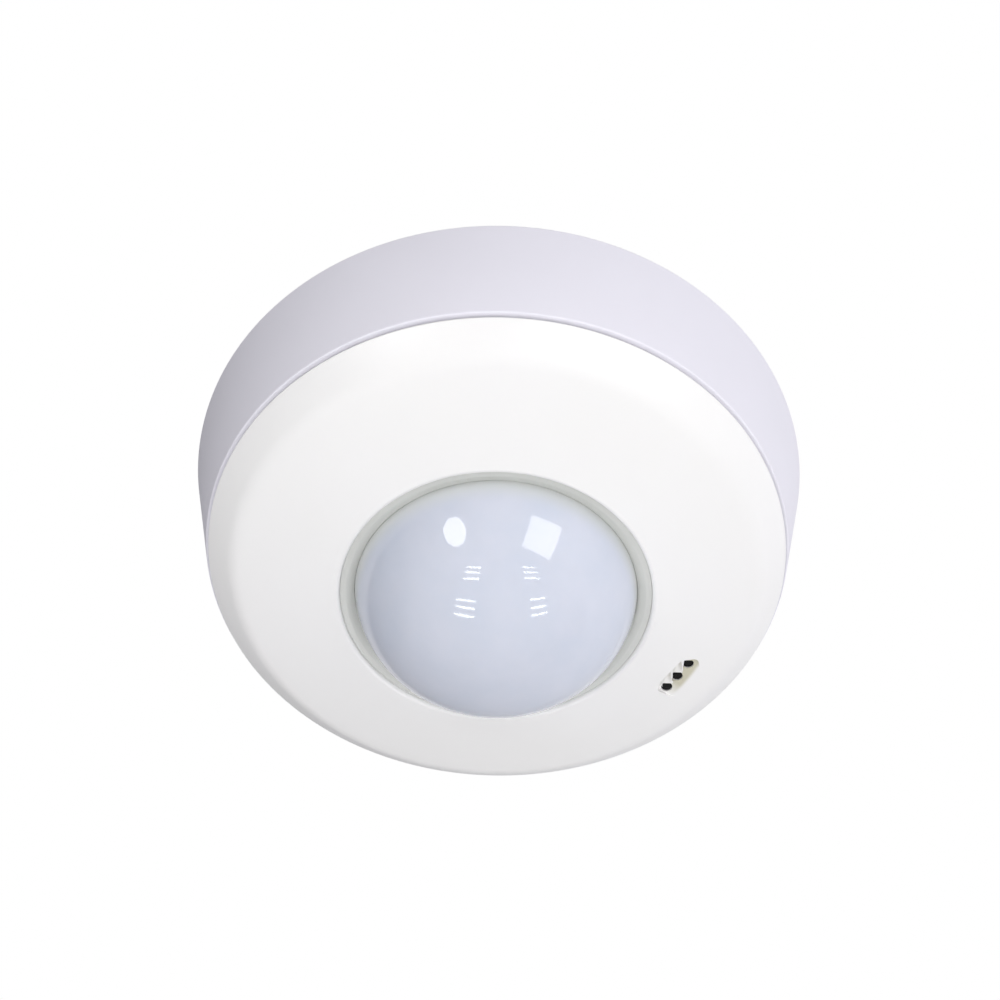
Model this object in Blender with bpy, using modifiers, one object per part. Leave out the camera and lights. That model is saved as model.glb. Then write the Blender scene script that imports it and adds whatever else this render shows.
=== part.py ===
"""Round ceiling motion sensor: a back box, a press-fit cover, a dome lens, two boards and what they carry.

Frame: the origin is the middle of the back face, which lies against the ceiling. +Z points up into the ceiling,
so the sensor hangs towards -Z. Lengths below are in millimetres and MM turns them into metres.
"""

import math

import bmesh
import bpy
from mathutils import Matrix, Vector

MM = 0.001
GAP = 0.3  # left between two pieces that touch on the real object
LARGE_STEPS = 64
RING_STEPS = 40
SMALL_STEPS = 20

# Outer form, as (radius, height) from the ceiling down.
BACK_RADIUS = 57.0
LIP_RADIUS = 52.0
LIP_Z = -21.3
COVER_RADIUS = 51.5
COVER_EDGE_Z = -22.3
CHAMFER_RADIUS = 47.6
CHAMFER_Z = -25.8
FACE_RADIUS = 45.4
FACE_Z = -27.1
OPENING_RADIUS = 27.3
OPENING_Z = -31.5
WALL = 2.2

# Dome lens: half an ellipsoid under a short straight foot.
DOME_RADIUS = 25.1
DOME_HEIGHT = 21.8
DOME_CENTRE_Z = -26.1
DOME_WALL = 0.8

# Levels inside, each the face nearer the ceiling.
PLATE = 2.4
POWER_BOARD_Z = -5.6
TRAY_Z = -18.6
SENSOR_BOARD_Z = -20.7
BOARD = 1.5
TRAY = 1.8
POWER_SIDE = POWER_BOARD_Z - BOARD - GAP  # where the power board's components start
SENSOR_SIDE = SENSOR_BOARD_Z - BOARD - GAP  # where the sensor board's components start

# Fixings.
PILLAR_CIRCLE = 41.5
PILLAR_ANGLES = (50, 130, 230, 310)
PILLAR_RADIUS = 2.8
SCREW_HOLE = 1.2
FIXING_SPACING = 88.9
FIXING_SLOT_LENGTH = 9.0
FIXING_SLOT_WIDTH = 4.8
CABLE_HOLE = (-38.0, 22.0)
CABLE_HOLE_RADIUS = 6.5
TRAY_CUT_X = -31.0  # the tray and the sensor board stop here, so the terminals can be reached
BOARD_SCREWS = ((38.0, 6.0), (-14.0, 12.0))

# Oblong recess with three sound holes, on the far right of the face.
SLOT_RADIUS = 38.75
SLOT_ANGLE = 29.0
SLOT_LENGTH = 9.8
SLOT_WIDTH = 5.4
SLOT_FLOOR_Z = -28.15
WEB_TOP_Z = -27.6  # the cover is thinned behind the recess, up to here
SOUND_HOLE_RADIUS = 0.95
SOUND_HOLE_PITCH = 3.3
SOUND_SHIFT = -0.25  # the holes and the microphone lie this far from the recess's middle, towards the lens

DIAL_PLACES = {"delay": (35.6, -5.0), "light": (31.8, -16.9)}
DIAL_RADIUS = 2.0
DIAL_WELL_DEPTH = 1.7
BUTTON_PLACE = (9.3, 34.8)
TERMINAL_PITCH = 7.5
TERMINAL_X = -37.0
PIN_PITCH = 2.54


def clear_scene():
    for obj in list(bpy.data.objects):
        bpy.data.objects.remove(obj, do_unlink=True)


def new_collection(name):
    made = bpy.data.collections.new(name)
    bpy.context.scene.collection.children.link(made)
    return made


clear_scene()
PARTS = new_collection("ceiling_motion_sensor")
CUTTERS = new_collection("cutters")
CUTTERS.hide_render = True


def finish(name, colour, roughness, metallic=0.0):
    """A plain material in the piece's own colour."""
    made = bpy.data.materials.new(name)
    made.use_nodes = True
    shader = made.node_tree.nodes["Principled BSDF"]
    shader.inputs["Base Color"].default_value = (*colour, 1.0)
    shader.inputs["Roughness"].default_value = roughness
    shader.inputs["Metallic"].default_value = metallic
    return made


def place(name, mesh, material, origin=(0, 0, 0), helper=False):
    """A new object from a mesh whose points are in millimetres, with its own origin at the given place."""
    mesh.transform(Matrix.Scale(MM, 4) @ Matrix.Translation(-Vector(origin)))
    mesh.shade_smooth()
    mesh.set_sharp_from_angle(angle=math.radians(35))
    obj = bpy.data.objects.new(name, mesh)
    obj.location = Vector(origin) * MM
    if helper:
        CUTTERS.objects.link(obj)
        obj.hide_render = True
        obj.display_type = "WIRE"
    else:
        PARTS.objects.link(obj)
        mesh.materials.append(material)
    return obj


def mesh_from(shape, name):
    mesh = bpy.data.meshes.new(name)
    shape.to_mesh(mesh)
    shape.free()
    return mesh


def block(name, size, centre, material=None, turn=0.0, bevel=0.0, origin=(0, 0, 0), helper=False):
    """A box of the given size about its centre, turned about Z by an angle in degrees."""
    shape = bmesh.new()
    turned_box = Matrix.Rotation(math.radians(turn), 4, "Z") @ Matrix.Diagonal((*size, 1))
    bmesh.ops.create_cube(shape, size=1.0, matrix=Matrix.Translation(centre) @ turned_box)
    obj = place(name, mesh_from(shape, name), material, origin, helper)
    if bevel:
        round_edges(obj, bevel)
    return obj


def rod(
    name,
    radius,
    low,
    high,
    at=(0, 0),
    material=None,
    steps=SMALL_STEPS,
    bevel=0.0,
    origin=(0, 0, 0),
    helper=False,
):
    """An upright cylinder between two heights."""
    shape = bmesh.new()
    where = Matrix.Translation((at[0], at[1], (low + high) / 2))
    bmesh.ops.create_cone(
        shape, cap_ends=True, segments=steps, radius1=radius, radius2=radius, depth=high - low, matrix=where
    )
    obj = place(name, mesh_from(shape, name), material, origin, helper)
    if bevel:
        round_edges(obj, bevel)
    return obj


def round_edges(obj, width, segments=1):
    bevel = obj.modifiers.new("rounded edges", "BEVEL")
    bevel.width = width * MM
    bevel.segments = segments
    bevel.limit_method = "ANGLE"
    bevel.angle_limit = math.radians(40)


def turned(name, profile, material=None, at=(0, 0), steps=LARGE_STEPS, ring=False, helper=False):
    """A profile of (radius, height) points turned about an upright axis. A ring's profile is closed."""
    count = len(profile)
    edges = [(i, i + 1) for i in range(count - 1)]
    if ring:
        edges.append((count - 1, 0))
    mesh = bpy.data.meshes.new(name)
    mesh.from_pydata([(radius, 0, height) for radius, height in profile], edges, [])
    obj = place(name, mesh, material, (0, 0, 0), helper)
    obj.location = Vector((at[0], at[1], 0)) * MM
    screw = obj.modifiers.new("turned", "SCREW")
    screw.axis = "Z"
    screw.steps = steps
    screw.render_steps = steps
    screw.use_merge_vertices = True
    screw.merge_threshold = 0.00001
    screw.use_smooth_shade = True
    return obj


def combine(obj, other, operation):
    boolean = obj.modifiers.new(f"{operation.lower()} {other.name}", "BOOLEAN")
    boolean.operation = operation
    boolean.object = other
    boolean.solver = "EXACT"


def cut(obj, *cutters):
    for cutter in cutters:
        combine(obj, cutter, "DIFFERENCE")


def add(obj, *pieces):
    for piece in pieces:
        combine(obj, piece, "UNION")


def round_place(radius, angle):
    return radius * math.cos(math.radians(angle)), radius * math.sin(math.radians(angle))


def pillar_places():
    return [round_place(PILLAR_CIRCLE, angle) for angle in PILLAR_ANGLES]


def slot_frame(along, across=0.0):
    """A place in the oblong recess: along its length, and across it, away from the lens."""
    x, y = round_place(SLOT_RADIUS + across, SLOT_ANGLE)
    angle = math.radians(SLOT_ANGLE)
    return x - along * math.sin(angle), y + along * math.cos(angle)


def inner_wall_radius(z):
    taper = (LIP_RADIUS - BACK_RADIUS) / LIP_Z
    return BACK_RADIUS + taper * z - WALL


def make_back_box():
    white = finish("white box plastic", (0.87, 0.87, 0.86), 0.45)
    profile = [
        (0, -PLATE),
        (inner_wall_radius(-PLATE) - 1.0, -PLATE),
        (inner_wall_radius(-PLATE - 1.0), -PLATE - 1.0),
        (inner_wall_radius(LIP_Z), LIP_Z),
        (LIP_RADIUS, LIP_Z),
        (BACK_RADIUS, -0.4),
        (BACK_RADIUS - 0.4, 0),
        (0, 0),
    ]
    profile.reverse()
    box = turned("back_box", profile, white)
    for index, (x, y) in enumerate(pillar_places()):
        pillar = rod(f"pillar {index}", PILLAR_RADIUS, TRAY_Z + GAP, -1.0, (x, y), helper=True)
        hole = rod(f"pillar hole {index}", SCREW_HOLE, TRAY_Z - 2, TRAY_Z + 9, (x, y), steps=12, helper=True)
        add(box, pillar)
        cut(box, hole)
    for index, (x, y) in enumerate(BOARD_SCREWS):
        boss = rod(f"boss {index}", 2.6, POWER_BOARD_Z + GAP, -1.0, (x, y), helper=True)
        hole = rod(f"boss hole {index}", SCREW_HOLE, POWER_BOARD_Z - 2, -1.5, (x, y), steps=12, helper=True)
        add(box, boss)
        cut(box, hole)
    for side in (-1, 1):
        cut(box, fixing_slot_cutter(side))
    cable = rod("cable hole cutter", CABLE_HOLE_RADIUS, -5, 1, CABLE_HOLE, steps=SMALL_STEPS, helper=True)
    cut(box, cable)


def fixing_slot_cutter(side):
    """A slot with round ends for a ceiling screw, longer round the circle than across it."""
    y = side * FIXING_SPACING / 2
    half = (FIXING_SLOT_LENGTH - FIXING_SLOT_WIDTH) / 2
    slot = block(f"fixing slot {side}", (2 * half, FIXING_SLOT_WIDTH, 8.0), (0, y, -1.0), helper=True)
    for end in (-1, 1):
        name = f"fixing slot end {side} {end}"
        add(slot, rod(name, FIXING_SLOT_WIDTH / 2, -5.0, 3.0, (end * half, y), helper=True))
    return slot


def make_cable_grommet():
    rubber = finish("black grommet rubber", (0.03, 0.03, 0.03), 0.6)
    inside, shank, flange = 4.2, CABLE_HOLE_RADIUS - GAP, CABLE_HOLE_RADIUS + 1.4
    profile = [
        (shank, -0.4),
        (shank, -PLATE - GAP),
        (flange, -PLATE - GAP),
        (flange, -PLATE - 1.4),
        (inside, -PLATE - 1.4),
        (inside, -0.4),
    ]
    turned("cable_grommet", profile, rubber, CABLE_HOLE, SMALL_STEPS, ring=True)


def cover_profile():
    """Closed section of the cover: outer face from the opening to the edge, then the inner side back."""
    skirt_outer = inner_wall_radius(LIP_Z) - 0.4
    skirt_inner = skirt_outer - 1.8
    collar = OPENING_RADIUS + 1.6
    inner_side = [
        (OPENING_RADIUS, OPENING_Z + 4.5),
        (collar, OPENING_Z + 4.5),
        (collar, OPENING_Z + 2.6),
        (FACE_RADIUS - 0.9, FACE_Z + 2.0),
        (CHAMFER_RADIUS - 1.2, CHAMFER_Z + 1.7),
        (skirt_inner, COVER_EDGE_Z - 0.6),
        (skirt_inner, TRAY_Z),
    ]
    outer_side = [
        (skirt_outer, TRAY_Z),
        (skirt_outer, COVER_EDGE_Z + 0.2),
        (COVER_RADIUS - 0.3, COVER_EDGE_Z + 0.2),
        (COVER_RADIUS, COVER_EDGE_Z - 0.1),
        (CHAMFER_RADIUS, CHAMFER_Z),
        (CHAMFER_RADIUS - 1.0, CHAMFER_Z - 0.75),
        (FACE_RADIUS, FACE_Z - 0.15),
        (FACE_RADIUS - 3.0, FACE_Z - 0.95),
        (OPENING_RADIUS + 0.8, OPENING_Z + 0.05),
        (OPENING_RADIUS + 0.2, OPENING_Z + 0.05),
        (OPENING_RADIUS, OPENING_Z + 0.3),
    ]
    return inner_side + outer_side


def make_front_cover():
    white = finish("white cover plastic", (0.9, 0.9, 0.9), 0.35)
    cover = turned("front_cover", cover_profile(), white, ring=True)
    cut(cover, slot_cutter("recess", SLOT_LENGTH, SLOT_WIDTH, -40.0, SLOT_FLOOR_Z))
    cut(cover, slot_cutter("web", SLOT_LENGTH + 0.6, SLOT_WIDTH - 1.2, WEB_TOP_Z, -20.0))
    for index in (-1, 0, 1):
        at = slot_frame(index * SOUND_HOLE_PITCH, SOUND_SHIFT)
        cut(cover, rod(f"sound hole {index}", SOUND_HOLE_RADIUS, -40, -20, at, steps=16, helper=True))


def slot_cutter(name, length, width, low, high):
    """An upright prism with round ends, which lies along the recess."""
    end = (length - width) / 2
    size = (width, 2 * end, high - low)
    prism = block(f"{name} cutter", size, (*slot_frame(0), (low + high) / 2), turn=SLOT_ANGLE, helper=True)
    for side in (-1, 1):
        add(prism, rod(f"{name} end {side}", width / 2, low, high, slot_frame(side * end), helper=True))
    return prism


def dome_points(radius, height, count):
    """Points down the side of the half ellipsoid, from its widest circle to its tip."""
    turns = [math.radians(90 * i / count) for i in range(count)]
    side = [(radius * math.cos(t), DOME_CENTRE_Z - height * math.sin(t)) for t in turns]
    return side + [(0.0, DOME_CENTRE_Z - height)]


def make_lens_dome():
    milky = finish("milky lens plastic", (0.78, 0.82, 0.86), 0.3)
    flange_top, flange_low, flange_radius = -24.5, -25.5, 26.2
    inner = dome_points(DOME_RADIUS - DOME_WALL, DOME_HEIGHT - DOME_WALL, 7)
    outer = dome_points(DOME_RADIUS, DOME_HEIGHT, 8)
    profile = inner[::-1] + [(DOME_RADIUS - DOME_WALL, flange_top), (flange_radius, flange_top)]
    profile += [(flange_radius, flange_low), (DOME_RADIUS, flange_low)] + outer
    turned("lens_dome", profile, milky, steps=RING_STEPS)


def make_lens_ring():
    grey = finish("light grey ring plastic", (0.72, 0.73, 0.74), 0.4)
    profile = [
        (27.0, -25.8),
        (27.0, -30.1),
        (26.6, -30.5),
        (26.1, -30.4),
        (25.4, -28.6),
        (25.4, -25.8),
    ]
    turned("lens_ring", profile, grey, steps=RING_STEPS, ring=True)


def make_lens_seat():
    grey = finish("grey seat plastic", (0.5, 0.5, 0.5), 0.5)
    profile = [(26.4, SENSOR_SIDE), (26.4, -24.2), (23.9, -24.2), (23.9, SENSOR_SIDE)]
    turned("lens_seat", profile, grey, steps=RING_STEPS, ring=True)


def link_cutter(name, low, high):
    return block(name, (6.4, 16.4, high - low), (28.5, 3.0, (low + high) / 2), helper=True)


def make_carrier_tray():
    grey = finish("grey tray plastic", (0.6, 0.6, 0.6), 0.5)
    low = TRAY_Z - TRAY
    tray = rod("carrier_tray", 46.8, low, TRAY_Z, material=grey, steps=LARGE_STEPS)
    cut(tray, block("tray cut", (40, 120, 20), (TRAY_CUT_X - 20, 0, TRAY_Z), helper=True))
    for index, at in enumerate(pillar_places()):
        cut(tray, rod(f"tray hole {index}", 1.9, low - 3, TRAY_Z + 3, at, steps=16, helper=True))
    cut(tray, link_cutter("tray link cut", low - 3, TRAY_Z + 3))


def make_sensor_board():
    green = finish("green board laminate", (0.02, 0.16, 0.07), 0.35)
    low = SENSOR_BOARD_Z - BOARD
    board = rod("sensor_board", 46.4, low, SENSOR_BOARD_Z, material=green, steps=LARGE_STEPS)
    cut_x = TRAY_CUT_X + 0.4 - 20
    cut(board, block("sensor board cut", (40, 120, 20), (cut_x, 0, SENSOR_BOARD_Z), helper=True))
    for index, at in enumerate(pillar_places()):
        cut(board, rod(f"sensor board hole {index}", 1.9, low - 3, low + 5, at, steps=16, helper=True))


def make_power_board():
    green = finish("dark green board laminate", (0.02, 0.13, 0.06), 0.35)
    low = POWER_BOARD_Z - BOARD
    board = rod("power_board", 45.0, low, POWER_BOARD_Z, material=green, steps=LARGE_STEPS)
    for side in (-1, 1):
        cut(board, block(f"board side cut {side}", (120, 30, 20), (0, side * 46.0, low), helper=True))
    cut(board, block("board cable cut", (30, 30, 20), (-42.0, 27.5, low), helper=True))
    for index, at in enumerate(pillar_places()):
        cut(board, rod(f"board notch {index}", PILLAR_RADIUS + 0.6, low - 3, low + 5, at, helper=True))
    for index, at in enumerate(BOARD_SCREWS):
        cut(board, rod(f"board hole {index}", 1.9, low - 3, low + 5, at, steps=16, helper=True))


def make_screw(name, at, head_top, shank_length, head_radius=2.6, head=1.8, shank=0.9):
    """A pan-head screw that points up towards the ceiling, with a crossed recess in its head."""
    steel = finish(f"zinc plated steel {name}", (0.62, 0.63, 0.64), 0.3, 1.0)
    profile = [
        (0, head_top + shank_length),
        (shank, head_top + shank_length),
        (shank, head_top),
        (head_radius, head_top),
        (head_radius, head_top - head * 0.6),
        (head_radius * 0.7, head_top - head),
        (0, head_top - head),
    ]
    screw = turned(name, profile, steel, at, 12)
    for turn in (0, 90):
        size = (head_radius * 1.1, 0.5, 1.6)
        cut(screw, block(f"{name} drive {turn}", size, (*at, head_top - head), turn=turn, helper=True))


def make_pyro():
    """The heat sensor: a metal can with a dark rectangular window let into its top."""
    steel = finish("nickel plated can", (0.66, 0.64, 0.6), 0.25, 1.0)
    top = SENSOR_SIDE - 4.4
    profile = [
        (0, SENSOR_SIDE),
        (4.6, SENSOR_SIDE),
        (4.6, SENSOR_SIDE - 0.6),
        (4.1, SENSOR_SIDE - 0.9),
        (4.1, top + 0.3),
        (3.8, top),
        (0, top),
    ]
    can = turned("pyro_can", profile, steel, steps=24)
    cut(can, block("window pocket", (4.0, 3.0, 1.6), (0, 0, top), helper=True))
    dark = finish("dark silicon window", (0.05, 0.05, 0.07), 0.15)
    block("pyro_window", (3.6, 2.6, 0.6), (0, 0, top + 0.2), dark)


def make_microphone():
    steel = finish("microphone can", (0.6, 0.6, 0.6), 0.3, 1.0)
    at = slot_frame(0, SOUND_SHIFT)
    capsule = rod("microphone_capsule", 3.0, SENSOR_SIDE - 2.4, SENSOR_SIDE, at, steel, bevel=0.2)
    cut(capsule, rod("capsule port", 0.8, SENSOR_SIDE - 4, SENSOR_SIDE - 2.0, at, steps=12, helper=True))
    rubber = finish("microphone boot rubber", (0.04, 0.04, 0.04), 0.7)
    profile = [(4.4, SENSOR_SIDE), (4.4, SENSOR_SIDE - 2.7), (3.3, SENSOR_SIDE - 2.7), (3.3, SENSOR_SIDE)]
    turned("microphone_boot", profile, rubber, at, SMALL_STEPS, ring=True)


def make_small_sensors():
    clear = finish("clear sensor resin", (0.7, 0.7, 0.65), 0.1)
    rod("light_sensor", 2.5, SENSOR_SIDE - 2.0, SENSOR_SIDE, (-13, 8), clear, bevel=0.3)
    red = finish("red lamp resin", (0.6, 0.04, 0.03), 0.15)
    led = rod("status_led", 1.5, SENSOR_SIDE - 3.4, SENSOR_SIDE, (13, 8), red, steps=16, bevel=0.5)
    add(led, rod("lamp foot", 1.9, SENSOR_SIDE - 0.9, SENSOR_SIDE - 0.05, (13, 8), steps=16, helper=True))


def make_dial(label):
    """A trimmer: a square body with a well, and in the well a round dial with a screwdriver slot."""
    x, y = DIAL_PLACES[label]
    side, height = 7.0, 2.9
    low = SENSOR_SIDE - height
    blue = finish(f"blue trimmer plastic {label}", (0.03, 0.12, 0.45), 0.4)
    body = block(f"{label}_trimmer", (side, side, height), (x, y, low + height / 2), blue, bevel=0.25)
    cut(body, rod(f"{label} well", DIAL_RADIUS + GAP, low - 2, low + DIAL_WELL_DEPTH, (x, y), helper=True))
    cream = finish(f"cream dial plastic {label}", (0.8, 0.76, 0.62), 0.4)
    dial_top = SENSOR_SIDE - 1.5
    dial = rod(f"{label}_dial", DIAL_RADIUS, low - 0.5, dial_top, (x, y), cream, origin=(x, y, dial_top))
    cut(dial, block(f"{label} driver slot", (3.2, 0.6, 1.2), (x, y, low - 0.5), helper=True))
    # A notch at one end of the slot is the dial's pointer.
    cut(dial, block(f"{label} pointer", (1.2, 1.2, 1.0), (x + 1.5, y, low - 0.5), turn=45, helper=True))


def make_test_button():
    x, y = BUTTON_PLACE
    black = finish("black switch plastic", (0.03, 0.03, 0.03), 0.4)
    body = block("button_switch", (6.0, 6.0, 3.2), (x, y, SENSOR_SIDE - 1.6), black, bevel=0.25)
    cut(body, rod("button well", 1.75 + GAP, SENSOR_SIDE - 5, SENSOR_SIDE - 1.4, (x, y), helper=True))
    red = finish("red button plastic", (0.55, 0.05, 0.04), 0.35)
    top = SENSOR_SIDE - 2.1
    rod("test_button", 1.75, top - 2.0, top, (x, y), red, bevel=0.15, origin=(x, y, top))


def make_chip(name, size, at, base):
    """A flat moulded chip with its gull legs as one strip on each long side."""
    black = finish(f"black chip resin {name}", (0.03, 0.03, 0.035), 0.5)
    length, width, height = size
    chip = block(name, size, (*at, base - height / 2), black, bevel=0.15)
    for side in (-1, 1):
        for index in range(4):
            along = (index - 1.5) * length / 4.6
            centre = (at[0] + along, at[1] + side * (width / 2 + 0.3), base - height * 0.4)
            add(chip, block(f"{name} leg {side} {index}", (0.5, 1.2, height * 0.5), centre, helper=True))


def make_signal_capacitor():
    metal = finish("capacitor can", (0.65, 0.66, 0.68), 0.3, 1.0)
    rod("signal_capacitor", 2.5, SENSOR_SIDE - 3.6, SENSOR_SIDE, (-14.0, 31.0), metal, bevel=0.3)


def make_board_link():
    """The plug between the boards: an upright plastic bar with its row of pins standing out at both ends."""
    black = finish("black header plastic", (0.04, 0.04, 0.04), 0.45)
    low, high = SENSOR_BOARD_Z + GAP, POWER_SIDE
    link = block("board_link", (2.5, 12.7, high - low - 1.6), (28.5, 3.0, (low + high) / 2), black)
    for index in range(5):
        pin = (0.64, 0.64, high - low)
        centre = (28.5, 3.0 + (index - 2) * PIN_PITCH, (low + high) / 2)
        add(link, block(f"link pin {index}", pin, centre, helper=True))


def make_power_parts():
    """The mains side's components, all standing on the face of the board that looks down."""
    base = POWER_SIDE
    relay_blue = finish("blue relay case", (0.04, 0.18, 0.5), 0.35)
    block("relay", (20.2, 15.2, 10.2), (13.0, -18.0, base - 5.1), relay_blue, bevel=0.5)
    yellow = finish("yellow film capacitor case", (0.8, 0.6, 0.08), 0.4)
    block("film_capacitor", (17.5, 7.5, 10.0), (-17.0, -22.0, base - 5.0), yellow, bevel=0.5)
    sleeve = finish("black capacitor sleeve", (0.03, 0.035, 0.05), 0.3)
    rod("reservoir_capacitor", 5.0, base - 10.2, base, (18.0, 18.0), sleeve, bevel=0.4)
    dark = finish("choke sleeve", (0.05, 0.05, 0.06), 0.5)
    profile = [(4.2, base), (4.2, base - 1.2), (3.4, base - 1.8), (3.4, base - 6.2), (4.2, base - 6.8)]
    profile = [(0, base)] + profile + [(4.2, base - 8.0), (0, base - 8.0)]
    turned("filter_choke", profile, dark, (4.0, 21.0), SMALL_STEPS)
    red = finish("red varistor coating", (0.5, 0.08, 0.03), 0.4)
    make_varistor(red, base)
    brown = finish("brown fuse case", (0.16, 0.08, 0.04), 0.4)
    rod("fuse", 4.0, base - 7.6, base, (-24.5, -11.0), brown, bevel=0.4)
    make_chip("bridge_rectifier", (8.4, 6.4, 3.2), (-8.0, -5.0), base)
    make_chip("regulator", (5.0, 4.0, 1.7), (4.0, 4.0), base)


def make_varistor(material, base):
    """A disc that stands on edge, on two legs joined to it as a foot."""
    shape = bmesh.new()
    upright = Matrix.Translation((-22.0, 4.0, base - 5.6)) @ Matrix.Rotation(math.radians(90), 4, "X")
    bmesh.ops.create_cone(
        shape, cap_ends=True, segments=SMALL_STEPS, radius1=4.4, radius2=4.4, depth=3.4, matrix=upright
    )
    disc = place("varistor", mesh_from(shape, "varistor"), material)
    round_edges(disc, 0.6)
    add(disc, block("varistor foot", (5.0, 1.0, 3.0), (-22.0, 4.0, base - 1.5), helper=True))


def terminal_places():
    return [(TERMINAL_X, (index - 1) * TERMINAL_PITCH) for index in range(3)]


def make_terminals():
    """Three screw terminals in one block, each a well with its screw and a side pocket with its clamp."""
    green = finish("terminal block plastic", (0.25, 0.42, 0.3), 0.4)
    base = POWER_SIDE
    width = 3 * TERMINAL_PITCH
    terminal = block("terminal_block", (11.6, width, 10.2), (TERMINAL_X, 0, base - 5.1), green, bevel=0.3)
    brass = finish("brass clamp", (0.7, 0.52, 0.2), 0.3, 1.0)
    for index, (x, y) in enumerate(terminal_places()):
        number = index + 1
        well = rod(f"terminal well {number}", 2.3, base - 12, base - 5.6, (x, y), steps=20, helper=True)
        pocket = block(f"terminal pocket {number}", (9.0, 5.2, 5.2), (x - 3.0, y, base - 3.4), helper=True)
        cut(terminal, well, pocket)
        clamp = block(f"terminal_clamp_{number}", (6.0, 4.6, 4.6), (x - 1.6, y, base - 3.4), brass)
        cut(clamp, block(f"clamp mouth {number}", (12.0, 3.2, 2.8), (x - 1.6, y, base - 3.2), helper=True))
        make_screw(f"terminal_screw_{number}", (x, y), base - 7.2, 1.1, 2.0, 1.5, 1.2)


def make_fasteners():
    for index, at in enumerate(pillar_places()):
        make_screw(f"tray_screw_{index + 1}", at, SENSOR_SIDE, 8.0)
    for index, at in enumerate(BOARD_SCREWS):
        make_screw(f"board_screw_{index + 1}", at, POWER_SIDE, 4.5)


def main():
    make_back_box()
    make_cable_grommet()
    make_front_cover()
    make_lens_dome()
    make_lens_ring()
    make_lens_seat()
    make_carrier_tray()
    make_sensor_board()
    make_power_board()
    make_pyro()
    make_microphone()
    make_small_sensors()
    for label in DIAL_PLACES:
        make_dial(label)
    make_test_button()
    make_chip("controller_chip", (9.0, 6.0, 1.8), (-10.0, -34.0), SENSOR_SIDE)
    make_chip("amplifier_chip", (5.0, 4.0, 1.5), (6.0, -34.0), SENSOR_SIDE)
    make_signal_capacitor()
    make_board_link()
    make_power_parts()
    make_terminals()
    make_fasteners()


main()
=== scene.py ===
# %% [markdown]
# A round ceiling motion sensor, seen from the room below it. A tapered back box sits against the ceiling,
# a chamfered cover presses onto it, and a milky dome lens looks out of the middle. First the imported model
# is loaded: it fixes every size and place, so each new piece is made in its frame. +Z points up into the
# ceiling.

# %% Load the frame
import math

import bpy
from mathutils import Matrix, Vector


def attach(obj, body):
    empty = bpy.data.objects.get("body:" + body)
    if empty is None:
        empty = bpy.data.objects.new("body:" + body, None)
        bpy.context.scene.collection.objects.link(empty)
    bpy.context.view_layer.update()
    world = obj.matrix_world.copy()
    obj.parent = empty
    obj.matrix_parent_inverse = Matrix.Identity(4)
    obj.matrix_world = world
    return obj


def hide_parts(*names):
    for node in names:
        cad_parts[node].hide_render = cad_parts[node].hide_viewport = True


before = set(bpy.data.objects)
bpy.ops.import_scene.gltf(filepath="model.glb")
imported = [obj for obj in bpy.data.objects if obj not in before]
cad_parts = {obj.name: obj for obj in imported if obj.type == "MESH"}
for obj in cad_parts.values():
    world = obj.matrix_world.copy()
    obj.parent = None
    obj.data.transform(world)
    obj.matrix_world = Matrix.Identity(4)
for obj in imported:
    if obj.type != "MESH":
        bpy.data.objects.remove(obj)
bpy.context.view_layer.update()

MM = 0.001

# %% [markdown]
# Small helpers serve the whole lesson. An operator acts on everything that is selected, so each new piece
# starts from an empty selection. A finished piece goes to its body and takes its material.

# %% Helpers for selecting and finishing a piece
CRISP_ABOVE = math.radians(32)  # an edge with a larger angle than this is not smoothed


def clear_selection():
    bpy.ops.object.select_all(action="DESELECT")


def pick(piece):
    clear_selection()
    piece.select_set(True)
    bpy.context.view_layer.objects.active = piece


def dress(piece, material):
    piece.data.materials.clear()
    piece.data.materials.append(material)


def hand_over(piece, name, body, material, stands_for=()):
    """Names a finished piece, settles its origin, and gives it its body and its material."""
    piece.name = name
    pick(piece)
    bpy.ops.object.transform_apply(location=True, rotation=True, scale=True)
    bpy.ops.object.shade_smooth_by_angle(angle=CRISP_ABOVE)
    dress(piece, material)
    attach(piece, body)
    if stands_for:
        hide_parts(*stands_for)
    print(f"{name}: {len(piece.data.polygons)} faces on {body}")


# %% [markdown]
# Most pieces here are turned shapes. Each is drawn as half a section, with a radius at each corner that a
# mould would round, and then spun about the sensor's axis. The section is drawn as by hand: one point,
# extruded again and again, and the spin is closed by merging its doubles.

# %% Helpers for a rounded section
DOUBLES_WITHIN = 0.002 * MM


def eased(corners, steps=5):
    """Replaces each corner that has a radius by an arc that touches both of its sides."""
    chain = []
    count = len(corners)
    for index, corner in enumerate(corners):
        point = Vector(corner[:2])
        if len(corner) < 3:
            chain.append(tuple(point))
            continue
        before = (Vector(corners[index - 1][:2]) - point).normalized()
        after = (Vector(corners[(index + 1) % count][:2]) - point).normalized()
        half = before.angle(after) / 2
        centre = point + (before + after).normalized() * corner[2] / math.sin(half)
        start = point + before * corner[2] / math.tan(half) - centre
        end = point + after * corner[2] / math.tan(half) - centre
        sweep = math.pi - 2 * half
        for step in range(steps + 1):
            share = step / steps
            arm = start * math.sin((1 - share) * sweep) + end * math.sin(share * sweep)
            chain.append(tuple(centre + arm / math.sin(sweep)))
    return chain


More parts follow.
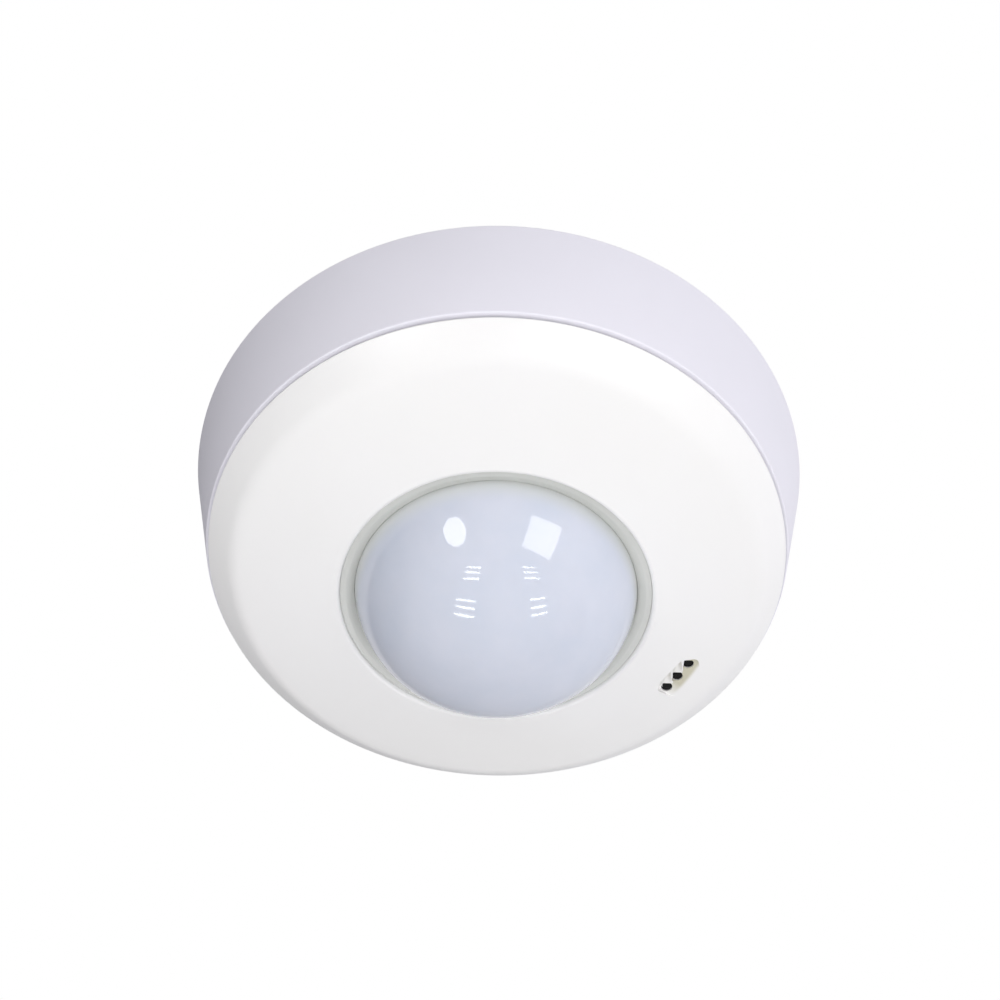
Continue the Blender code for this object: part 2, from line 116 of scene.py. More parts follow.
def draw_chain(points):
    """Draws a chain of edges through points in millimetres, and stays in edit mode."""
    clear_selection()
    bpy.ops.mesh.primitive_plane_add(size=MM, location=(0, 0, 0))
    piece = bpy.context.object
    bpy.ops.object.mode_set(mode="EDIT")
    bpy.ops.mesh.select_all(action="SELECT")
    bpy.ops.mesh.merge(type="CENTER")
    places = [Vector(point) * MM for point in points]
    bpy.ops.transform.translate(value=places[0])
    for here, there in zip(places, places[1:]):
        bpy.ops.mesh.extrude_vertices_move(TRANSFORM_OT_translate={"value": there - here})
    return piece


def turn(section, steps, closed=False):
    """Spins a section about Z: a closed one gives a ring, and one from axis to axis gives a solid."""
    chain = list(section) + ([section[0]] if closed else [])
    piece = draw_chain([(radius, 0, height) for radius, height in chain])
    bpy.ops.mesh.select_all(action="SELECT")
    bpy.ops.mesh.spin(steps=steps, angle=math.tau, center=(0, 0, 0), axis=(0, 0, 1))
    bpy.ops.mesh.select_all(action="SELECT")
    bpy.ops.mesh.remove_doubles(threshold=DOUBLES_WITHIN)
    bpy.ops.mesh.normals_make_consistent(inside=False)
    bpy.ops.object.mode_set(mode="OBJECT")
    return piece


# %% [markdown]
# Holes, slots and screw posts come from Boolean modifiers, each applied at once so that the piece ends as
# a plain mesh. The cutter is removed after its cut.

# %% Helpers for cutting and adding
BEVEL_ABOVE = math.radians(40)  # only edges sharper than this are bevelled
BEVEL_SEGMENTS = 3


def apply_boolean(piece, other, operation):
    pick(piece)
    cut = piece.modifiers.new(operation, "BOOLEAN")
    cut.operation = operation
    cut.object = other
    cut.solver = "EXACT"
    bpy.ops.object.modifier_apply(modifier=cut.name)
    bpy.data.objects.remove(other, do_unlink=True)


def soften_edges(piece, width):
    pick(piece)
    bevel = piece.modifiers.new("bevel", "BEVEL")
    bevel.width = width * MM
    bevel.segments = BEVEL_SEGMENTS
    bevel.limit_method = "ANGLE"
    bevel.angle_limit = BEVEL_ABOVE
    bpy.ops.object.modifier_apply(modifier=bevel.name)


def rod(radius, low, high, at, steps=48, bevel=0.0):
    """An upright cylinder in millimetres, with its end edges bevelled if asked."""
    clear_selection()
    place = Vector((at[0], at[1], (low + high) / 2)) * MM
    bpy.ops.mesh.primitive_cylinder_add(
        vertices=steps, radius=radius * MM, depth=(high - low) * MM, location=place
    )
    piece = bpy.context.object
    if bevel:
        soften_edges(piece, bevel)
    return piece


def block(size, centre, turned=0.0, bevel=0.0):
    """A box in millimetres, turned about Z by an angle in degrees, with its edges bevelled if asked."""
    clear_selection()
    bpy.ops.mesh.primitive_cube_add(size=1, location=Vector(centre) * MM)
    piece = bpy.context.object
    piece.scale = Vector(size) * MM
    piece.rotation_euler = (0, 0, math.radians(turned))
    bpy.ops.object.transform_apply(location=True, rotation=True, scale=True)
    if bevel:
        soften_edges(piece, bevel)
    return piece


# %% [markdown]
# Colours are written as the screen shows them, in sRGB hex, and the renderer wants linear light, so one
# function turns them. Another adds a node with its settings and links. Every material reads Object
# coordinates, so its pattern stays on the piece wherever the piece moves.

# %% Helpers for materials
def linear(hex_colour):
    shares = [int(hex_colour[start : start + 2], 16) / 255 for start in (1, 3, 5)]
    return [s / 12.92 if s <= 0.04045 else ((s + 0.055) / 1.055) ** 2.4 for s in shares] + [1.0]


def add_node(tree, kind, settings=None, links=None):
    """Adds a node. Settings go by property or socket, and links by socket: its name or its number."""
    made = tree.nodes.new("ShaderNode" + kind)
    for key, value in (settings or {}).items():
        if key == "stops":
            for element, (position, hex_colour) in zip(made.color_ramp.elements, value):
                element.position = position
                element.color = linear(hex_colour)
        elif isinstance(key, int) or key in made.inputs:
            made.inputs[key].default_value = value
        else:
            setattr(made, key, value)
    for key, output in (links or {}).items():
        tree.links.new(output, made.inputs[key])
    return made


def start_material(name, **sockets):
    """A material, its tree, its shader with these sockets set, and its Object coordinates."""
    made = bpy.data.materials.new(name)
    made.use_nodes = True
    tree = made.node_tree
    shader = tree.nodes["Principled BSDF"]
    for socket, value in sockets.items():
        shader.inputs[socket.replace("_", " ")].default_value = value
    place = add_node(tree, "TexCoord").outputs["Object"]
    print("material:", name)
    return made, tree, shader, place


def blotches(size_mm, detail):
    """Settings for a noise whose blotches are about this many millimetres across."""
    return {"Scale": 1 / (size_mm * MM), "Detail": detail}


def shades(low_hex, high_hex, start=0.35, end=0.65):
    """Settings for a ramp that runs from one colour to another as its pattern goes from start to end."""
    return {"stops": [(start, low_hex), (end, high_hex)]}


def tint(tree, shader, pattern, ramp):
    """Colours the surface by a pattern."""
    colour = add_node(tree, "ValToRGB", ramp, {"Fac": pattern}).outputs["Color"]
    tree.links.new(colour, shader.inputs["Base Color"])


def texture(tree, shader, pattern, roughness, raised_mm, strength):
    """Lets a pattern drive how rough the surface is, from a low to a high value, and how far it stands up."""
    rough = add_node(tree, "MapRange", {"To Min": roughness[0], "To Max": roughness[1]}, {"Value": pattern})
    tree.links.new(rough.outputs["Result"], shader.inputs["Roughness"])
    bump = add_node(tree, "Bump", {"Strength": strength, "Distance": raised_mm * MM}, {"Height": pattern})
    tree.links.new(bump.outputs["Normal"], shader.inputs["Normal"])


# %% [markdown]
# The housing is ABS, moulded in a tool whose walls were spark-eroded to a fine matt grain. What the eye
# gets is an even white with a soft sheen and no mirror, and over the large cover a hardly visible drift
# of tone where the plastic flowed. The grain's real pitch is about 0.1 mm; it is drawn at 0.35 mm so that
# it shows at all.

# %% Moulded ABS for the box
GRAIN_MM = 0.35


def moulded_abs(name, low_hex, high_hex, roughness):
    made, tree, shader, place = start_material(name, IOR=1.53)
    flow = add_node(tree, "TexNoise", blotches(38.0, 2.0), {"Vector": place})
    tint(tree, shader, flow.outputs["Fac"], shades(low_hex, high_hex))
    fine = add_node(tree, "TexNoise", blotches(GRAIN_MM, 2.0), {"Vector": place})
    texture(tree, shader, fine.outputs["Fac"], roughness, 0.012, 0.35)
    return made


BOX_ABS = moulded_abs("lavender white ABS, spark eroded", "#ECEAF2", "#EFEDF5", (0.42, 0.55))

# %% [markdown]
# The cover is the same plastic in a cleaner white. A warm beige is painted onto the floor of its recess for
# the sound holes: painted shade, for the shade that gathers in the hollow behind the sloping face. The share
# of beige is a product of three: how far a point lies behind the face's cone, how close it is to the floor's
# height, and how close to the recess's middle.

# %% Cover material with painted shade in its recess
FACE_RADIUS, FACE_Z = 27.3, -31.5  # where the face's cone meets the lens opening
FACE_RISE = 0.2431  # millimetres of height for each millimetre of radius
# The middle and reach of the painted shade on the recess's floor.
RECESS_MIDDLE, RECESS_REACH = (36.0, 17.9), 6.6
FLOOR_Z, CHANNEL_Z = -28.15, -28.0  # the recess's floor, and that of the channels beside it


def distance_from(tree, place, middle):
    """How far a point lies from an upright line through this x and y, whatever its height."""
    offset = {"operation": "SUBTRACT", 1: (middle[0] * MM, middle[1] * MM, 0)}
    away = add_node(tree, "VectorMath", offset, {0: place})
    level = add_node(tree, "VectorMath", {"operation": "MULTIPLY", 1: (1, 1, 0)}, {0: away.outputs[0]})
    return add_node(tree, "VectorMath", {"operation": "LENGTH"}, {0: level.outputs[0]}).outputs["Value"]


def painted_shade_share(tree, place):
    """How much painted shade: 1 on the recess's floor, and 0 on the sloping face, in the channels and away
    from the recess.
    """
    height = add_node(tree, "SeparateXYZ", {}, {"Vector": place}).outputs["Z"]
    cone = {"operation": "MULTIPLY_ADD", 1: -FACE_RISE, 2: (FACE_RADIUS * FACE_RISE - FACE_Z) * MM}
    slope = add_node(tree, "Math", cone, {0: distance_from(tree, place, (0, 0))}).outputs[0]
    depth = add_node(tree, "Math", {"operation": "ADD"}, {0: height, 1: slope}).outputs[0]
    behind_face = {"From Min": 0.02 * MM, "From Max": 0.25 * MM, "interpolation_type": "SMOOTHSTEP"}
    near_floor = {"From Min": (CHANNEL_Z - 0.02) * MM, "From Max": (FLOOR_Z + 0.03) * MM}
    near_middle = {"From Min": RECESS_REACH * MM, "From Max": (RECESS_REACH - 3.0) * MM}
    share = add_node(tree, "MapRange", behind_face, {"Value": depth}).outputs["Result"]
    for limits, value in ((near_floor, height), (near_middle, distance_from(tree, place, RECESS_MIDDLE))):
        other = add_node(tree, "MapRange", limits, {"Value": value}).outputs["Result"]
        share = add_node(tree, "Math", {"operation": "MULTIPLY"}, {0: share, 1: other}).outputs[0]
    return share


def cover_abs():
    made, tree, shader, place = start_material("pure white ABS, spark eroded", IOR=1.53)
    flow = add_node(tree, "TexNoise", blotches(42.0, 2.0), {"Vector": place})
    white = add_node(tree, "ValToRGB", shades("#F6F5F3", "#F8F7F6"), {"Fac": flow.outputs["Fac"]})
    links = {"Factor": painted_shade_share(tree, place), 6: white.outputs["Color"]}
    # Painted shade: the warm beige #CFCBB6 is mixed into the white where the share above is high.
    cream = add_node(tree, "Mix", {"data_type": "RGBA", 7: linear("#CFCBB6")}, links)
    tree.links.new(cream.outputs[2], shader.inputs["Base Color"])
    fine = add_node(tree, "TexNoise", blotches(GRAIN_MM, 2.0), {"Vector": place})
    texture(tree, shader, fine.outputs["Fac"], (0.34, 0.46), 0.01, 0.3)
    return made


COVER_ABS = cover_abs()

# %% [markdown]
# The lens is thin high-density polyethylene, the one cheap plastic that lets body heat through. It is milky
# and a little blue, with a polished outside: light sinks in and scatters, and lamps show as small sharp
# reflections. The subsurface radius is a few millimetres, longest in blue. Near its foot the colour is a
# greyer green, and the milk comes in over the next four millimetres.

# %% Milky polyethylene for the lens
FOOT_GREY = "#D9DCDB"


def milky_polyethylene():
    made, tree, shader, place = start_material(
        "milky polyethylene, polished outside",
        IOR=1.54,
        Subsurface_Weight=0.25,
        Subsurface_Radius=(0.8, 0.9, 1.0),
        Subsurface_Scale=2.5 * MM,
    )
    cloud = add_node(tree, "TexNoise", blotches(9.0, 3.0), {"Vector": place})
    milk = add_node(tree, "ValToRGB", shades("#D1D7E5", "#D8DCE9", 0.3, 0.7), {"Fac": cloud.outputs["Fac"]})
    height = add_node(tree, "SeparateXYZ", {}, {"Vector": place}).outputs["Z"]
    above_foot = {"From Min": -29.5 * MM, "From Max": -34.0 * MM, "interpolation_type": "SMOOTHSTEP"}
    share = add_node(tree, "MapRange", above_foot, {"Value": height}).outputs["Result"]
    links = {"Factor": share, 7: milk.outputs["Color"]}
    wall = add_node(tree, "Mix", {"data_type": "RGBA", 6: linear(FOOT_GREY)}, links)
    tree.links.new(wall.outputs[2], shader.inputs["Base Color"])
    haze = add_node(tree, "TexNoise", blotches(7.0, 1.0), {"Vector": place}).outputs["Fac"]
    polish = add_node(tree, "MapRange", {"To Min": 0.045, "To Max": 0.065}, {"Value": haze})
    tree.links.new(polish.outputs["Result"], shader.inputs["Roughness"])
    return made


LENS_HDPE = milky_polyethylene()

# %% [markdown]
# The ring that holds the lens is a pale grey-green moulding with a satin face, a tone darker than the
# cover.

# %% Grey ABS for the lens ring
RING_ABS = moulded_abs("pale grey ABS, satin moulded", "#CFD0CB", "#D7D8D4", (0.3, 0.4))

# %% [markdown]
# The back box is a shallow tapered drum with a flat plate against the ceiling. Its wall leans in by 13
# degrees towards the room so that it leaves the tool, and its lip is eased by a small round. It is spun
# as one section, then gets four posts for the tray's screws, two slots for the ceiling screws and the
# cable's hole.

# %% Back box section
BOX_SECTION = [
    (0, 0),
    (57.0, 0, 0.35),
    (52.0, -21.3, 0.32),
    (49.8, -21.3, 0.25),
    (53.9, -2.4, 1.2),
    (0, -2.4),
]
back_box = turn(eased(BOX_SECTION), 192)
print("box faces:", len(back_box.data.polygons))

# %% [markdown]
# The tall posts stand where the tray's screws are, and two short ones hold the power board. Each is bored
# from its tip. A slot is cut by a block with a rod at each end, so that its ends are round.

# %% Posts, slots and the cable hole
def polar(radius, degrees):
    return (radius * math.cos(math.radians(degrees)), radius * math.sin(math.radians(degrees)))


PILLARS = [polar(41.5, angle) for angle in (50, 130, 230, 310)]
BOARD_SCREWS = [(38.0, 6.0), (-14.0, 12.0)]
POST_ROOT = -1.2  # half way into the plate, so that a post grows out of it
BORE_RADIUS = 1.2
FIXING_OFFSET, FIXING_LENGTH, FIXING_WIDTH = 44.45, 9.0, 4.8
CABLE_AT, CABLE_HOLE_RADIUS = (-38, 22), 6.5
PLATE_CUT = (-5, 1)  # from below the plate to above it


def bored_post(piece, at, radius, tip, bore_depth, bevel):
    apply_boolean(piece, rod(radius, tip, POST_ROOT, at, 40, bevel), "UNION")
    apply_boolean(piece, rod(BORE_RADIUS, tip - 1, tip + bore_depth, at, 24), "DIFFERENCE")


def round_slot(at, length, width, low, high):
    """A cutter along X with round ends."""
    reach = (length - width) / 2
    slot = block((2 * reach, width, high - low), (at[0], at[1], (low + high) / 2))
    for side in (-1, 1):
        apply_boolean(slot, rod(width / 2, low, high, (at[0] + side * reach, at[1]), 40), "UNION")
    return slot


for at in PILLARS:
    bored_post(back_box, at, radius=2.8, tip=-18.3, bore_depth=8.0, bevel=0.25)
for at in BOARD_SCREWS:
    bored_post(back_box, at, radius=2.6, tip=-5.3, bore_depth=3.8, bevel=0.2)
for side in (-1, 1):
    fixing = round_slot((0, side * FIXING_OFFSET), FIXING_LENGTH, FIXING_WIDTH, *PLATE_CUT)
    apply_boolean(back_box, fixing, "DIFFERENCE")
apply_boolean(back_box, rod(CABLE_HOLE_RADIUS, *PLATE_CUT, CABLE_AT, 64), "DIFFERENCE")
hand_over(back_box, "box_body", "base", BOX_ABS, ["back_box"])

# %% [markdown]
# The cover is a shallow cone with a rounded shoulder, a straight chamfer and a skirt that presses into
# the box. Its shoulder has a radius of over 6 mm, which gives the soft shading that a sharp edge
# wouldn't. The rim round the lens is eased, so that it catches a thin line of light.

# %% Cover section
COVER_SECTION = [
    (FACE_RADIUS, -27.0, 0.2),
    (FACE_RADIUS, FACE_Z, 0.7),
    (46.43, -26.85, 6.4),
    (51.5, -22.3, 0.3),
    (51.35, -22.0, 0.12),
    (49.4, -22.0, 0.1),
    (49.4, -18.6, 0.35),
    (47.6, -18.6, 0.35),
    (47.6, -22.9, 0.6),
    (44.5, -25.1, 4.0),
    (28.9, -28.9, 0.4),
    (28.9, -27.0, 0.2),
]
cover = turn(eased(COVER_SECTION, 7), 256, closed=True)
print("cover faces:", len(cover.data.polygons))

# %% [markdown]
# The sound inlet is a recess with a flat floor. The face slopes away from the room there, so on the side
# away from the lens the floor simply runs out, and its edge nearly vanishes. Behind it the cover is
# thinned to a web of 0.3 mm, so the three holes look black right up to their edges. From each of the
# first two holes a slightly deeper channel runs towards the lens, and beside it a narrow rib stays as
# high as the face.

# %% Recess, channels and sound holes
WEB_TOP_Z = -27.85
HOLES = [(31.82, 21.65), (33.5, 18.95), (35.25, 15.85)]
HOLE_RADIUS, HOLE_FLAT, CHANNEL_HALF = 1.03, 0.8, 0.9  # a hole is cut flat at this distance below its middle
IN_FRONT, BEHIND = -40, -20  # heights clear of the cover on the room's side and inside
SLOT_ANGLE = math.radians(29.0)
LENS_SIDE_FROM, LENS_SIDE_FALL = (30.6, 18.95), 1.476
RECESS = [
    (30.5, 18.95),
    (29.95, 21.7, 0.9),
    (33.2, 24.2, 1.2),
    (37.9, 18.3, 2.2),
    (36.8, 14.25, 1.2),
    (34.28, 14.3),
    (34.36, 17.2),
    (32.62, 20.1),
    (31.0, 21.7),
]


def fill_and_extrude(way):
    """Fills the chain that was just drawn, and extrudes it this way, in millimetres, into a closed solid."""
    bpy.ops.mesh.select_all(action="SELECT")
    bpy.ops.mesh.edge_face_add()
    bpy.ops.mesh.extrude_region_move(TRANSFORM_OT_translate={"value": Vector(way) * MM})
    bpy.ops.mesh.select_all(action="SELECT")
    bpy.ops.mesh.normals_make_consistent(inside=False)
    bpy.ops.object.mode_set(mode="OBJECT")


def prism(outline, low, high):
    """An upright prism over a flat outline in millimetres."""
    piece = draw_chain([(x, y, low) for x, y in outline])
    fill_and_extrude((0, 0, high - low))
    return piece


def behind_slot(half_length, near, far, near_round, far_round):
    """An outline along the recess: its half length, its distances from the axis and its corners' radii."""
    outward = Vector((math.cos(SLOT_ANGLE), math.sin(SLOT_ANGLE)))
    sideways = Vector((-outward.y, outward.x))
    corners = [(half_length, near, near_round), (half_length, far, far_round)]
    corners += [(-half_length, far, far_round), (-half_length, near, near_round)]
    return [tuple(outward * across + sideways * along) for along, across in eased(corners, 6)]


def lens_side(x):
    """The point at this X on the line next to the lens where the channels end."""
    return (x, LENS_SIDE_FROM[1] - LENS_SIDE_FALL * (x - LENS_SIDE_FROM[0]))


apply_boolean(cover, prism(eased(RECESS, 6), IN_FRONT, FLOOR_Z), "DIFFERENCE")
apply_boolean(cover, prism(behind_slot(5.2, 36.9, 41.0, 1.5, 2.0), WEB_TOP_Z, BEHIND), "DIFFERENCE")
for x, y in HOLES[:2]:
    left, right = x - CHANNEL_HALF, x + CHANNEL_HALF
    channel = [(left, y), lens_side(left - 0.2), lens_side(x + 0.25), (right, y - 1.2), (right, y)]
    apply_boolean(cover, prism(channel, IN_FRONT, CHANNEL_Z), "DIFFERENCE")
for x, y in HOLES:
    turns = [math.tau * index / 32 for index in range(32)]
    hole = [(x + HOLE_RADIUS * math.cos(t), y + max(HOLE_RADIUS * math.sin(t), -HOLE_FLAT)) for t in turns]
    apply_boolean(cover, prism(hole, IN_FRONT, BEHIND), "DIFFERENCE")
hand_over(cover, "cover_body", "cover", COVER_ABS, ["front_cover"])

# %% [markdown]
# A pad of black acoustic foam is glued behind the web. It keeps dust and insects out and lets sound in. Its
# near-black colour is also painted shade: it stands in for the dark inside seen through the sound holes, so
# that the holes look black. Its edge is slightly crushed, so it is rounded.

# %% Acoustic foam pad
CELL_MM = 0.4
foam = prism(behind_slot(4.9, 37.1, 40.8, 1.4, 1.8), WEB_TOP_Z + 0.05, WEB_TOP_Z + 1.3)
soften_edges(foam, 0.25)


def hole_shade_foam():
    """Open-cell polyurethane foam: matt near-black, which is also painted shade for the holes, with cells of
    about 0.4 mm that break up its surface.
    """
    made, tree, shader, place = start_material("black polyurethane foam, open cell", Roughness=0.95)
    cells = add_node(tree, "TexVoronoi", {"Scale": 1 / (CELL_MM * MM)}, {"Vector": place}).outputs["Distance"]
    # Painted shade: near-black from #050505 to #151515, for the dark inside of the sound holes.
    tint(tree, shader, cells, shades("#050505", "#151515", 0.1, 0.7))
    bump = add_node(tree, "Bump", {"Strength": 0.8, "Distance": 0.15 * MM}, {"Height": cells})
    tree.links.new(bump.outputs["Normal"], shader.inputs["Normal"])
    return made


hand_over(foam, "acoustic_foam", "cover", hole_shade_foam())

# %% [markdown]
# The dome is half an ellipsoid on a short straight foot with a flange that the ring clamps. Its outside
# is polished and plain. On the inside the mould cuts small flat facets, row above row, each a lens
# segment that throws the heat of its own zone onto the sensor: a coarse ellipsoid, taken away from the
# smooth one, leaves them.

# %% Dome lens
DOME_RADIUS, DOME_HEIGHT, DOME_Z = 25.1, 21.8, -26.1
SIDE_WALL, TOP_WALL = 1.0, 0.9
FACET_ROWS, FACETS_ROUND = 7, 28
FLANGE_RADIUS, FLANGE_TOP, FLANGE_UNDER = 26.2, -24.5, -25.5


def ellipse_points(radius, height, count):
    turns = [math.radians(90 * index / count) for index in range(count)]
    return [(radius * math.cos(t), DOME_Z - height * math.sin(t)) for t in turns] + [(0, DOME_Z - height)]


flange = [
    (0, FLANGE_TOP),
    (FLANGE_RADIUS, FLANGE_TOP),
    (FLANGE_RADIUS, FLANGE_UNDER),
    (DOME_RADIUS, FLANGE_UNDER),
]
dome = turn(flange + ellipse_points(DOME_RADIUS, DOME_HEIGHT, 40), 192)
inner_radius, inner_top = DOME_RADIUS - SIDE_WALL, FLANGE_TOP + 0.5
facets = ellipse_points(inner_radius, DOME_HEIGHT - TOP_WALL, FACET_ROWS)
hollow = turn([(0, inner_top), (inner_radius, inner_top)] + facets, FACETS_ROUND)
apply_boolean(dome, hollow, "DIFFERENCE")
hand_over(dome, "lens_body", "base", LENS_HDPE, ["lens_dome"])

# %% [markdown]
# The lens ring sits between the dome and the cover's opening, a little behind the rim. Its lower lip is
# rounded.

# %% Lens ring
RING_SECTION = [
    (27.27, -25.8, 0.15),
    (27.27, -30.5, 0.08),
    (26.2, -30.5, 0.6),
    (24.8, -29.65, 0.04),
    (25.12, -27.5),
    (25.12, -25.8, 0.05),
]
ring = turn(eased(RING_SECTION, 6), 192, closed=True)
hand_over(ring, "ring_body", "base", RING_ABS, ["lens_ring"])

# %% [markdown]
# Inside, each finish starts from what the real one is: laminate under a glossy solder mask, nickel on the
# heat sensor's can, zinc on the screws, and the usual plastics. A plastic has a slight drift in tone and
# a fine grain in its gloss. A plated or drawn metal has faint streaks along Z.

# %% Makers of the inner finishes
STREAK_MM = 0.4


def solid_plastic(name, low_hex, high_hex, rough, grain_mm=0.6, **sockets):
    made, tree, shader, place = start_material(name, **sockets)
    flow = add_node(tree, "TexNoise", blotches(6 * grain_mm, 3.0), {"Vector": place})
    tint(tree, shader, flow.outputs["Fac"], shades(low_hex, high_hex))
    fine = add_node(tree, "TexNoise", blotches(grain_mm, 2.0), {"Vector": place})
    texture(tree, shader, fine.outputs["Fac"], (rough - 0.06, rough + 0.08), 0.02, 0.3)
    return made


def bright_metal(name, low_hex, high_hex, rough):
    made, tree, shader, place = start_material(name, Metallic=1.0)
    drawn = add_node(tree, "Mapping", {"Scale": (1, 1, 0.15)}, {"Vector": place})
    streak = add_node(tree, "TexNoise", blotches(STREAK_MM, 3.0), {"Vector": drawn.outputs["Vector"]})
    tint(tree, shader, streak.outputs["Fac"], shades(low_hex, high_hex))
    texture(tree, shader, streak.outputs["Fac"], (rough - 0.04, rough + 0.06), 0.004, 0.08)
    return made


# %% [markdown]
# Under the board's solder mask lies a weave of glass. Its real pitch is 0.6 mm; it is drawn at 1.8 mm, so
# that it shows faintly through the even green. Two wave patterns are multiplied, one along X and one
# along Y.

# %% Board laminate
WEAVE_MM = 1.8
WAVES_PER_UNIT = 20 / math.tau  # what a wave texture of scale 1 draws


def board_laminate():
    made, tree, shader, place = start_material(
        "green solder mask on glass laminate", IOR=1.5, Coat_Weight=0.3, Coat_Roughness=0.15
    )
    mask = add_node(tree, "TexNoise", blotches(9.0, 2.0), {"Vector": place})
    tint(tree, shader, mask.outputs["Fac"], shades("#0F5530", "#15633A"))
    weave = add_node(tree, "Math", {"operation": "MULTIPLY"})
    for number, direction in enumerate(("X", "Y")):
        bands = {"Scale": 1 / (WAVES_PER_UNIT * WEAVE_MM * MM), "bands_direction": direction}
        wave = add_node(tree, "TexWave", bands, {"Vector": place})
        tree.links.new(wave.outputs["Fac"], weave.inputs[number])
    texture(tree, shader, weave.outputs[0], (0.26, 0.36), 0.01, 0.3)
    return made


# %% [markdown]
# The pieces that keep their plain shapes, because the cover, the board or the lens hides most of them,
# get these finishes. All screws are zinc-plated steel with the faint blue of its passivation.

# %% Finishes of the pieces that keep their shapes
LAMINATE = board_laminate()
BLACK_EPOXY = solid_plastic("black epoxy, transfer moulded", "#1B1C1F", "#26272A", 0.5)
BLACK_RUBBER = solid_plastic("black rubber, moulded", "#161616", "#222222", 0.68)
NICKEL = bright_metal("nickel plated steel, drawn", "#B9B4AA", "#D0CCC4", 0.25)
ZINC = bright_metal("zinc plated steel, blue passivated", "#B4B7BA", "#CDD0D2", 0.28)
SLEEVE = solid_plastic("black heat shrink sleeve", "#17181D", "#23252C", 0.3)
KEPT = [
    (LAMINATE, ["power_board"]),
    (BLACK_EPOXY, ["bridge_rectifier", "regulator", "board_link"]),
    (BLACK_RUBBER, ["cable_grommet"]),
    (NICKEL, ["pyro_can", "microphone_capsule"]),
    (ZINC, [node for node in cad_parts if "screw_" in node]),
    (bright_metal("brass, stamped", "#B98F3E", "#D2AC5C", 0.28), [f"terminal_clamp_{n}" for n in (1, 2, 3)]),
    (solid_plastic("silicon filter, vacuum coated", "#16161C", "#22222C", 0.12), ["pyro_window"]),
    (solid_plastic("clear epoxy, cast", "#B9BBB0", "#CACCC2", 0.12), ["light_sensor"]),
    (solid_plastic("red epoxy, cast", "#A81814", "#C2281F", 0.14), ["status_led"]),
    (solid_plastic("blue polyester, relay cover", "#1F5CA6", "#2A6CBC", 0.3), ["relay"]),
    (solid_plastic("yellow polyester, capacitor cup", "#D3A21E", "#E0B53A", 0.38), ["film_capacitor"]),
    (SLEEVE, ["reservoir_capacitor", "filter_choke"]),
    (solid_plastic("red epoxy powder, dipped", "#9C3420", "#B2462E", 0.42), ["varistor"]),
    (solid_plastic("brown polyamide, fuse cup", "#4A3020", "#5A3D2B", 0.4), ["fuse"]),
    (solid_plastic("green polyamide, terminal grade", "#5E8F6E", "#6FA07E", 0.4), ["terminal_block"]),
]
for material, nodes in KEPT:
    for node in nodes:
        dress(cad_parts[node], material)
print("dressed:", sum(len(nodes) for _, nodes in KEPT), "pieces")

# %% [markdown]
# With the cover off, the sensor board is in full view, so it and what stands on it are modelled again
# with round outlines and eased edges. The board and the tray behind it are discs with one flat side.

# %% Sensor board and tray
BOARD_FACE, BOARD_BACK = -22.2, -20.7  # the parts stand on its face
TRAY_FACE, TRAY_BACK = -20.4, -18.6
LINK_AT = (28.5, 3.0)  # where the pins that link the two boards pass the tray
TRAY_ABS = solid_plastic("pale grey ABS, tray grade", "#B9BAB8", "#C4C5C3", 0.5)


def flat_sided_disc(radius, low, high, flat):
    """A disc that ends at a flat at this X, with a hole for each pillar's screw."""
    disc = rod(radius, low, high, (0, 0), 192, 0.12)
    apply_boolean(disc, block((40, 120, 20), (flat - 20, 0, low)), "DIFFERENCE")
    for at in PILLARS:
        apply_boolean(disc, rod(1.7, low - 2, high + 2, at, 32), "DIFFERENCE")
    return disc


board = flat_sided_disc(46.4, BOARD_FACE, BOARD_BACK, flat=-30.6)
hand_over(board, "board_body", "base", LAMINATE, ["sensor_board"])
tray = flat_sided_disc(46.8, TRAY_FACE, TRAY_BACK, flat=-31.0)
link_window = block((3.2, 14.0, 6.0), (*LINK_AT, TRAY_FACE))
apply_boolean(tray, link_window, "DIFFERENCE")
hand_over(tray, "tray_body", "base", TRAY_ABS, ["carrier_tray"])

# %% [markdown]
# The tracks are copper strips under the mask, paler and raised by the copper's 35 micrometres. Each is
# one outline drawn beside a run of points. They circle the lens in lanes, and leave a lane where a
# component needs them. Round pads end them, and a printed white line marks where each large component
# stands.

# %% Tracks and pads
SUNK = BOARD_FACE + 0.1  # what stands on the board reaches to here, so that no gap shows under it
TRACK_WIDTH, TRACK_RAISED = 0.42, 0.035
PAD_RADIUS, PAD_RAISED = 0.6, 0.06


def joined(pieces):
    """Joins pieces that don't touch into one mesh."""
    clear_selection()
    for piece in pieces:
        piece.select_set(True)
    bpy.context.view_layer.objects.active = pieces[0]
    bpy.ops.object.join()
    return pieces[0]


def strip(points, width):
    """The outline of a strip of even width along a run of points, with mitred corners."""
    places = [Vector(point) for point in points]
    left, right = [], []
    for index, here in enumerate(places):
        ways = [here - places[max(index - 1, 0)], places[min(index + 1, len(places) - 1)] - here]
        ways = [way.normalized() for way in ways if way.length > 0]
        along = sum(ways, Vector((0, 0))).normalized()
        side = Vector((-along.y, along.x)) * (width / 2) / max(along.dot(ways[0]), 0.5)
        left.append(tuple(here + side))
        right.append(tuple(here - side))
    return left + right[::-1]


def polar_run(corners):
    """Points every four degrees or so along a run whose corners are radii and angles in degrees."""
    run = []
    for (r1, a1), (r2, a2) in zip(corners, corners[1:]):
        steps = max(1, round(abs(a2 - a1) / 4))
        for step in range(steps):
            run.append(polar(r1 + (r2 - r1) * step / steps, a1 + (a2 - a1) * step / steps))
    return run + [polar(*corners[-1])]


